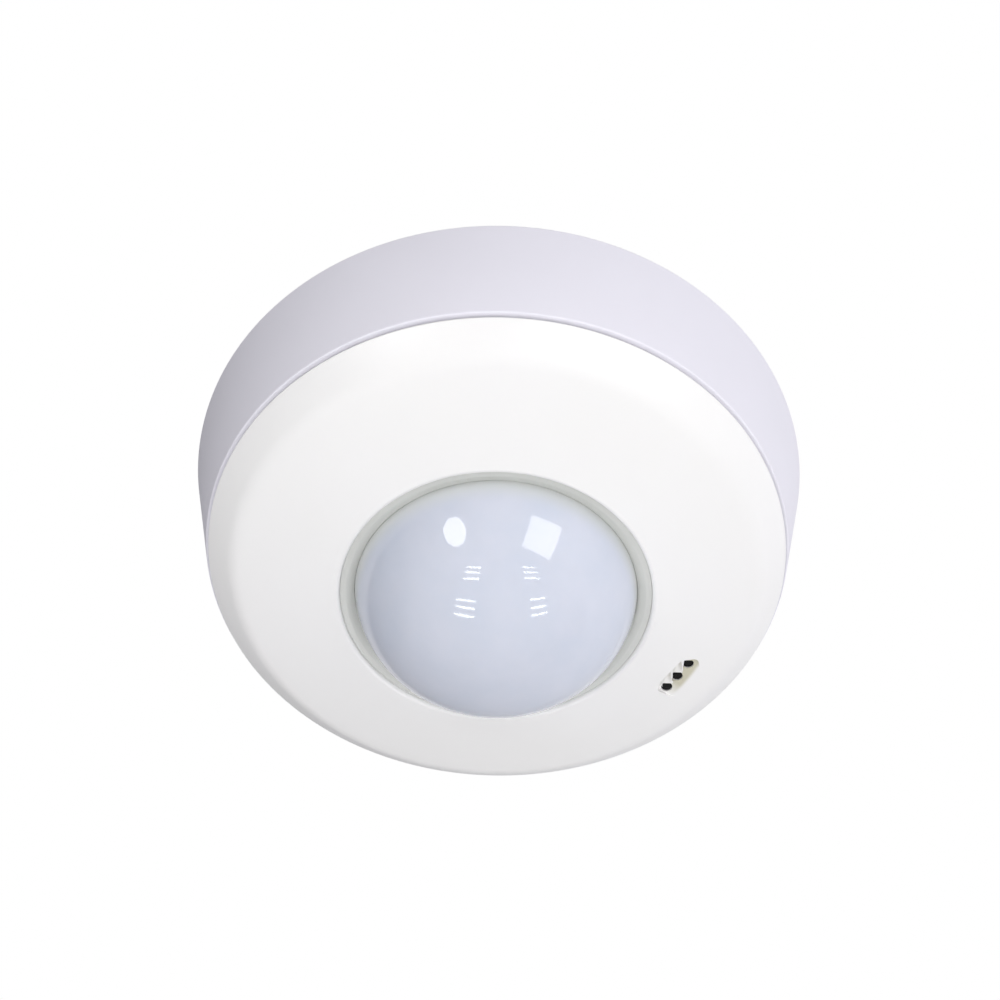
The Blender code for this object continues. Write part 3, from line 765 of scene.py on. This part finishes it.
TRACKS = [
    [(34.2, 33), (30.5, 27), (30.5, -72), (31.2, -75)],
    [(34.2, 25.5), (29.6, 21), (29.6, -78), (31.2, -80)],
    [(33.0, -8), (28.7, -12), (28.7, -98), (30.6, -101)],
    [(33.0, -28), (27.8, -33), (27.8, -104), (30.6, -107)],
    [(33.0, 74), (29.6, 80), (29.6, 244), (31.0, 247)],
    [(33.2, 79), (28.7, 84), (28.7, 247), (30.8, 250)],
    [(32.2, 116), (27.8, 121), (27.8, 250), (30.4, 253)],
    [(38.2, 256), (41.0, 258.5), (41.0, 285), (37.8, 288)],
    [
        (38.2, 253.5), (42.2, 257), (42.2, 300), (36.5, 304),
        (36.5, 316), (42.4, 323), (42.4, 350), (39.8, 353),
    ],
    [(42.6, 33), (44.9, 36), (44.9, 64), (42.0, 67), (42.0, 72), (38.6, 75)],
    [(38.0, 79), (41.0, 82), (41.0, 108), (37.0, 112)],
    [(34.5, 121), (36.0, 124), (36.0, 136)],
]
TRACK_GREEN = solid_plastic("solder mask over copper", "#2F8A55", "#389560", 0.3, 0.5, Coat_Weight=0.3)
tracks = [prism(strip(polar_run(run), TRACK_WIDTH), BOARD_FACE - TRACK_RAISED, SUNK) for run in TRACKS]
for run in TRACKS:
    for end in (run[0], run[-1]):
        tracks.append(rod(PAD_RADIUS, BOARD_FACE - PAD_RAISED, SUNK, polar(*end), 24, 0.02))
hand_over(joined(tracks), "board_tracks", "base", TRACK_GREEN)

# %% Printed outlines
TRIMMERS = {"delay": (35.6, -5.0), "light": (31.8, -16.9)}
BUTTON_AT, CAPACITOR_AT, MICROPHONE_AT = (9.3, 34.8), (-14.0, 31.0), (33.67, 18.67)
CONTROLLER_AT, AMPLIFIER_AT = (-10.0, -34.0), (6.0, -34.0)
MARKED = [
    (CONTROLLER_AT, 10.4, 8.6),
    (AMPLIFIER_AT, 6.4, 6.6),
    (BUTTON_AT, 7.0, 7.0),
    (CAPACITOR_AT, 6.4, 6.4),
    *[(at, 8.0, 8.0) for at in TRIMMERS.values()],
]
INK_WIDTH, INK_RAISED = 0.2, 0.05
LEGEND_INK = solid_plastic("white epoxy ink, screen printed", "#D9DBD4", "#E4E6DF", 0.6, 0.3)
marks = []
for (x, y), width, depth in MARKED:
    corners = [(-1, -1), (1, -1), (1, 1), (-1, 1), (-1, -1)]
    line = [(x + width / 2 * a, y + depth / 2 * b) for a, b in corners]
    marks.append(prism(strip(line, INK_WIDTH), BOARD_FACE - INK_RAISED, SUNK))
hand_over(joined(marks), "board_outlines", "base", LEGEND_INK)

# %% [markdown]
# Small resistors and capacitors, 2 mm long, sit between the large parts. One body and one pair of tinned
# ends are modelled at the origin and copied, each copy with a mesh of its own. The same is done with the
# solder joints of the pins that link the two boards.

# %% Small surface-mount parts and solder joints
def copies(piece, places):
    """Copies of a piece modelled at the origin, one for each x, y and turn in degrees, in its stead."""
    made = []
    pick(piece)
    bpy.ops.object.transform_apply(location=True, rotation=True, scale=True)
    for x, y, turned in places:
        pick(piece)
        bpy.ops.object.duplicate(linked=False)
        twin = bpy.context.object
        twin.location = (x * MM, y * MM, 0)
        twin.rotation_euler = (0, 0, math.radians(turned))
        made.append(twin)
    bpy.data.objects.remove(piece, do_unlink=True)
    return made


SMALL = [(33.5, a) for a in (44, 48, 52, 56, 60, 89, 93, 97, 101, 127, 132, 228, 232.5, 237, 6, 11)]
SMALL += [(37.0, a) for a in (58, 62, 91.5, 97, 102, 6.5, 11)]
SMALL += [(r, a) for a in (266, 270, 292, 296, 300.5) for r in (33.2, 35.9)]
SMALL_PLACES = [(*polar(radius, angle), angle + 90) for radius, angle in SMALL]
BODY_LENGTH, BODY_WIDTH = 1.3, 1.2
PIN_PITCH = 2.54
JOINT_SECTION = [(0.95, 0.1), (0.85, -0.1), (0.5, -0.4), (0.34, -0.8), (0, -0.9)]  # heights from the board
TIN = bright_metal("tin, reflowed", "#B9BCBE", "#D2D5D6", 0.25)
TAN_CERAMIC = solid_plastic("tan ceramic, fired", "#A98A68", "#B99A76", 0.45, 0.3)

resistor = block((BODY_LENGTH, BODY_WIDTH, 0.5), (0, 0, BOARD_FACE - 0.3), bevel=0.04)
resistors = joined(copies(resistor, SMALL_PLACES[::2]))
hand_over(resistors, "small_resistors", "base", BLACK_EPOXY)
ceramic = block((BODY_LENGTH, BODY_WIDTH, 0.75), (0, 0, BOARD_FACE - 0.42), bevel=0.08)
capacitors = joined(copies(ceramic, SMALL_PLACES[1::2]))
hand_over(capacitors, "small_capacitors", "base", TAN_CERAMIC)
ends = [block((0.36, 1.24, 0.62), (x, 0, BOARD_FACE - 0.3), bevel=0.08) for x in (-0.83, 0.83)]
hand_over(joined(copies(joined(ends), SMALL_PLACES)), "tinned_ends", "base", TIN)
joint = turn([(0, SUNK)] + [(radius, BOARD_FACE + rise) for radius, rise in JOINT_SECTION], 24)
pins = [(LINK_AT[0], LINK_AT[1] + PIN_PITCH * index, 0) for index in (-2, -1, 0, 1, 2)]
hand_over(joined(copies(joint, pins)), "solder_joints", "base", TIN)

# %% [markdown]
# The two chips have moulded bodies with eased edges and a dimple beside pin one. A lead is drawn once
# from the side, as a strip that leaves the body, bends down to the board and ends in a flat foot.

# %% Chips
CLEAR = -27  # below every part on the board, for the open end of a cutter
CHIP_UNDER = BOARD_FACE - 0.3
LEAD_TOP, LEAD_FOOT = BOARD_FACE - 0.85, BOARD_FACE - 0.14
LEAD_WIDTH, LEAD_THICKNESS, LEAD_PITCH = 0.4, 0.18, 1.27
CHIPS = {  # place, length, width, height and the leads on each side
    "controller_chip": (CONTROLLER_AT, 9.0, 6.0, 1.8, 7),
    "amplifier_chip": (AMPLIFIER_AT, 5.0, 4.0, 1.5, 4),
}


def lead(start):
    """One gull-wing lead that points along X and starts at this distance from the origin."""
    bends = [(start, LEAD_TOP), (start + 0.4, LEAD_TOP), (start + 0.62, LEAD_FOOT), (start + 1.1, LEAD_FOOT)]
    piece = draw_chain([(x, -LEAD_WIDTH / 2, z) for x, z in strip(bends, LEAD_THICKNESS)])
    fill_and_extrude((0, LEAD_WIDTH, 0))
    return piece


leads = []
for name, ((x, y), length, width, height, count) in CHIPS.items():
    body = block((length, width, height - 0.05), (x, y, CHIP_UNDER - height / 2), bevel=0.16)
    dimple = (x - length / 2 + 0.9, y + width / 2 - 0.9)
    apply_boolean(body, rod(0.4, CLEAR, CHIP_UNDER - height + 0.12, dimple, 24), "DIFFERENCE")
    hand_over(body, name + "_body", "base", BLACK_EPOXY, [name])
    offsets = [LEAD_PITCH * (index - (count - 1) / 2) for index in range(count)]
    places = [(x + offset, y, turned) for offset in offsets for turned in (90, -90)]
    leads += copies(lead(width / 2 - 0.1), places)
hand_over(joined(leads), "chip_leads", "base", TIN)

# %% [markdown]
# The trimmers are blue blocks with a round well. Their dials have a screwdriver slot with an arrow at one
# end, so that the setting can be read.

# %% Trimmers and dials
CASE_HEIGHT = 3.2  # of a trimmer and of the switch
CASE_MIDDLE = BOARD_FACE - CASE_HEIGHT / 2
TRIMMER_SIDE, WELL_RADIUS, WELL_FLOOR = 7.0, 2.3, -23.7
DIAL_RADIUS, DIAL_FACE, DIAL_BACK, ARROW_FLOOR = 2.0, -25.9, -24.0, -25.4
CREAM = solid_plastic("cream polyamide, moulded", "#DCD4BC", "#E8E1CC", 0.4)
BLUE_POLYESTER = solid_plastic("blue polyester, moulded", "#1D4FA8", "#2A5FBE", 0.36)

trimmer = block((TRIMMER_SIDE, TRIMMER_SIDE, CASE_HEIGHT), (0, 0, CASE_MIDDLE), bevel=0.3)
apply_boolean(trimmer, rod(WELL_RADIUS, CLEAR, WELL_FLOOR, (0, 0)), "DIFFERENCE")
dial = rod(DIAL_RADIUS, DIAL_FACE, DIAL_BACK, (0, 0), bevel=0.15)
apply_boolean(dial, block((3.1, 0.6, 1.6), (0, 0, DIAL_FACE)), "DIFFERENCE")
for half in ([(0.5, 0), (1.1, 0.9), (1.75, 0)], [(0.5, 0), (1.75, 0), (1.1, -0.9)]):
    apply_boolean(dial, prism(half, CLEAR, ARROW_FLOOR), "DIFFERENCE")
at_trimmers = [(x, y, 0) for x, y in TRIMMERS.values()]
for label, body, top in zip(TRIMMERS, copies(trimmer, at_trimmers), copies(dial, at_trimmers)):
    hand_over(body, f"{label}_trimmer_body", "base", BLUE_POLYESTER, [f"{label}_trimmer"])
    hand_over(top, f"{label}_dial_body", f"{label}_setting", CREAM, [f"{label}_dial"])

# %% [markdown]
# The test button stands in a square switch with a tinned cover plate, riveted at its corners.

# %% Switch and button
SWITCH_SIDE, SHAFT_RADIUS, SHAFT_FLOOR = 6.0, 2.05, -23.9
PLATE_HOLE, PLATE_THICKNESS, PLATE_Z = 2.15, 0.28, -25.56
RIVET_RADIUS, RIVET_OFFSET = 0.45, 2.35
BLACK_POLYESTER = solid_plastic("black polyester, moulded", "#191919", "#242424", 0.4)
RED_POLYAMIDE = solid_plastic("red polyamide, moulded", "#A8211A", "#BC3026", 0.35)


def stand(piece, at):
    """Moves a piece that was turned about the origin to its x and y."""
    piece.location = (at[0] * MM, at[1] * MM, 0)
    return piece


switch = block((SWITCH_SIDE, SWITCH_SIDE, CASE_HEIGHT), (*BUTTON_AT, CASE_MIDDLE), bevel=0.25)
apply_boolean(switch, rod(SHAFT_RADIUS, CLEAR, SHAFT_FLOOR, BUTTON_AT), "DIFFERENCE")
hand_over(switch, "switch_body", "base", BLACK_POLYESTER, ["button_switch"])
plate = block((SWITCH_SIDE, SWITCH_SIDE, PLATE_THICKNESS), (*BUTTON_AT, PLATE_Z), bevel=0.06)
apply_boolean(plate, rod(PLATE_HOLE, CLEAR, SHAFT_FLOOR, BUTTON_AT), "DIFFERENCE")
offsets = (-RIVET_OFFSET, RIVET_OFFSET)
corners = [(BUTTON_AT[0] + a, BUTTON_AT[1] + b) for a in offsets for b in offsets]
rivets = [rod(RIVET_RADIUS, PLATE_Z - 0.3, PLATE_Z - 0.04, corner, 20, 0.1) for corner in corners]
hand_over(joined([plate] + rivets), "switch_plate", "base", TIN)
button = turn(eased([(0, -24.6), (1.75, -24.6, 0.1), (1.75, -26.6, 0.3), (0, -26.5)]), 48)
hand_over(stand(button, BUTTON_AT), "button_body", "walk_test", RED_POLYAMIDE, ["test_button"])

# %% [markdown]
# The capacitor is a drawn can, crimped above a square base. The microphone sits in a rubber boot with a
# rounded lip, and the lens stands on a low ring.

# %% Capacitor, boot and lens seat
ALUMINIUM = bright_metal("aluminium can, drawn", "#BFC1C4", "#D4D6D8", 0.3)
CAN_SECTION = [
    (0, -23.0),
    (2.45, -23.0),
    (2.45, -23.5),
    (2.25, -23.75),
    (2.45, -24.0),
    (2.45, -26.1, 0.35),
    (0, -26.1),
]
can = stand(turn(eased(CAN_SECTION), 64), CAPACITOR_AT)
hand_over(can, "capacitor_can", "base", ALUMINIUM, ["signal_capacitor"])
foot = block((5.2, 5.2, 0.85), (*CAPACITOR_AT, -22.62), bevel=0.12)
hand_over(foot, "capacitor_base", "base", BLACK_POLYESTER)
boot_section = [(4.4, BOARD_FACE), (4.4, -25.2, 0.5), (3.3, -25.2, 0.3), (3.3, BOARD_FACE)]
boot = stand(turn(eased(boot_section), 64, closed=True), MICROPHONE_AT)
hand_over(boot, "boot_body", "base", BLACK_RUBBER, ["microphone_boot"])
seat_section = [(26.4, BOARD_FACE), (26.4, -24.2, 0.25), (23.9, -24.2, 0.25), (23.9, BOARD_FACE)]
seat = turn(eased(seat_section), 160, closed=True)
hand_over(seat, "seat_body", "base", TRAY_ABS, ["lens_seat"])

# %% [markdown]
# The tray's screws have pan heads with a cross recess. One is modelled and copied, and no two of the
# copies stop at the same angle, as after a real screwdriver.

# %% Tray screws
SCREW_SECTION = [
    (0, -14.5),
    (0.9, -14.5, 0.3),
    (0.9, BOARD_FACE),
    (2.6, BOARD_FACE),
    (2.6, -23.4, 0.6),
    (1.9, -24.2, 0.9),
    (0, -24.3),
]
STOPPED_AT = (12, 55, 78, 31)
screw = turn(eased(SCREW_SECTION), 48)
for turned in (0, 90):
    apply_boolean(screw, block((2.7, 0.55, 1.6), (0, 0, -24.3), turned), "DIFFERENCE")
placed = [(x, y, angle) for (x, y), angle in zip(PILLARS, STOPPED_AT)]
for number, driven in enumerate(copies(screw, placed), 1):
    hand_over(driven, f"tray_screw_body_{number}", "base", ZINC, [f"tray_screw_{number}"])

# %% [markdown]
# The camera looks up at the sensor from in front of it and a little over a quarter of a metre away.

# %% Camera
CAMERA_AT = (0.0, -0.17530, -0.24572)
CAMERA_TURNED = (144.442, -0.740, -1.1455)  # degrees about X, Y and Z
FOCAL_MM, SENSOR_MM = 57.05, 36.0
clear_selection()
bpy.ops.object.camera_add(location=CAMERA_AT, rotation=[math.radians(angle) for angle in CAMERA_TURNED])
camera = bpy.context.object
camera.data.lens = FOCAL_MM
camera.data.sensor_width = SENSOR_MM
camera.data.clip_start = 0.01
bpy.context.scene.camera = camera
print("camera to origin:", round(Vector(CAMERA_AT).length, 3), "m")

# %% [markdown]
# The light is a studio's. Two soft panels stand to the left and right in front of the sensor, and four
# fittings with three tubes each shine up from below, as the room's own lamps would if the sensor lay on
# its back. The dome mirrors all of them, so their places decide where its highlights are. Each lamp is a
# pair in one place: one gives the soft light and the other only its mirror image, so that each has a
# power of its own.

# %% Studio lights
AIM = Vector((0, 0, -0.03))
GLINT_AHEAD = 0.02  # the mirrored lamp stands in front of the soft one, which would hide it
PANELS = {  # place, width, height, soft watts, glint watts and shape
    "right panel": ((0.782, -1.124, -0.465), 0.59, 0.80, 1.92, 6.6, "RECTANGLE"),
    "left panel": ((-0.766, -1.20, -0.44), 0.42, 0.72, 4.4, 4.8, "ELLIPSE"),
}
FITTINGS = {  # the ends of its tubes along X, and each tube's Y
    "front left": ((-0.61, -0.305), (-0.92, -0.79, -0.64)),
    "front right": ((0.527, 0.866), (-0.958, -0.825, -0.68)),
    "rear left": ((-0.647, -0.316), (-0.207, -0.08, 0.062)),
    "rear right": ((0.56, 0.86), (-0.238, -0.085, 0.053)),
}
TUBE_Z, TUBE_THICKNESS, TUBE_WATTS, TUBE_GLINT_WATTS = -1.30, 0.036, 1.09, 0.44


def lamp_pair(name, place, width, height, soft_watts, glint_watts, shape="RECTANGLE", aim=AIM):
    for part, watts in (("soft", soft_watts), ("glint", glint_watts)):
        way = aim - Vector(place)
        ahead = GLINT_AHEAD if part == "glint" else 0.0
        clear_selection()
        bpy.ops.object.light_add(type="AREA", location=Vector(place) + way.normalized() * ahead)
        lamp = bpy.context.object
        lamp.name = f"{name} {part}"
        lamp.rotation_euler = way.to_track_quat("-Z", "Y").to_euler()
        lamp.data.shape = shape
        lamp.data.size = width
        lamp.data.size_y = height
        lamp.data.energy = watts
        lamp.visible_glossy = part == "glint"
        lamp.visible_diffuse = part == "soft"


for name, settings in PANELS.items():
    lamp_pair(name, *settings)
for name, ((left, right), rows) in FITTINGS.items():
    for number, y in enumerate(rows, 1):
        middle = (left + right) / 2
        tube = (f"{name} tube {number}", (middle, y, TUBE_Z), right - left, TUBE_THICKNESS)
        lamp_pair(*tube, TUBE_WATTS, TUBE_GLINT_WATTS, aim=Vector((middle, y, 0)))
print("lamps:", len(bpy.data.lights))

# %% [markdown]
# A plain pale floor lies far below, and the room is a soft white, darker to the left where a studio would
# hang a dark cloth. The world is dimmer as a light than it looks as a background, so that the shading on
# the white plastic stays readable.

# %% Floor and world
STUDIO_FLOOR_Z, STUDIO_FLOOR_RADIUS = -1.6, 3.4
LEFT_ROOM, RIGHT_ROOM = 0.02, 1.03  # the room's light, as a share of plain white
clear_selection()
bpy.ops.mesh.primitive_circle_add(
    vertices=128, radius=STUDIO_FLOOR_RADIUS, fill_type="NGON", location=(0, 0, STUDIO_FLOOR_Z)
)
floor = bpy.context.object
floor.name = "studio_floor"
paint, tree, shader, place = start_material("pale studio floor, matt paint", Roughness=0.85)
trodden = add_node(tree, "TexNoise", blotches(400.0, 3.0), {"Vector": place})
tint(tree, shader, trodden.outputs["Fac"], shades("#E4E4E4", "#E9E9E9"))
dress(floor, paint)

world = bpy.data.worlds.new("soft white room")
bpy.context.scene.world = world
world.use_nodes = True
tree = world.node_tree
room = tree.nodes["Background"]
room.inputs["Color"].default_value = linear("#FAFAFF")
facing = add_node(tree, "TexCoord").outputs["Generated"]
sideways = add_node(tree, "SeparateXYZ", {}, {"Vector": facing}).outputs["X"]
left_to_right = {"From Min": -1.0, "From Max": 1.0, "To Min": LEFT_ROOM, "To Max": RIGHT_ROOM}
strength = add_node(tree, "MapRange", left_to_right, {"Value": sideways})
tree.links.new(strength.outputs["Result"], room.inputs["Strength"])
seen = add_node(tree, "Background", {"Color": (1, 1, 1, 1), "Strength": 1.0})
ray = add_node(tree, "LightPath")
links = {"Fac": ray.outputs["Is Camera Ray"], 1: room.outputs[0], 2: seen.outputs[0]}
choice = add_node(tree, "MixShader", {}, links)
tree.links.new(choice.outputs[0], tree.nodes["World Output"].inputs["Surface"])
bpy.context.scene.view_settings.view_transform = "Standard"
print("world:", world.name)
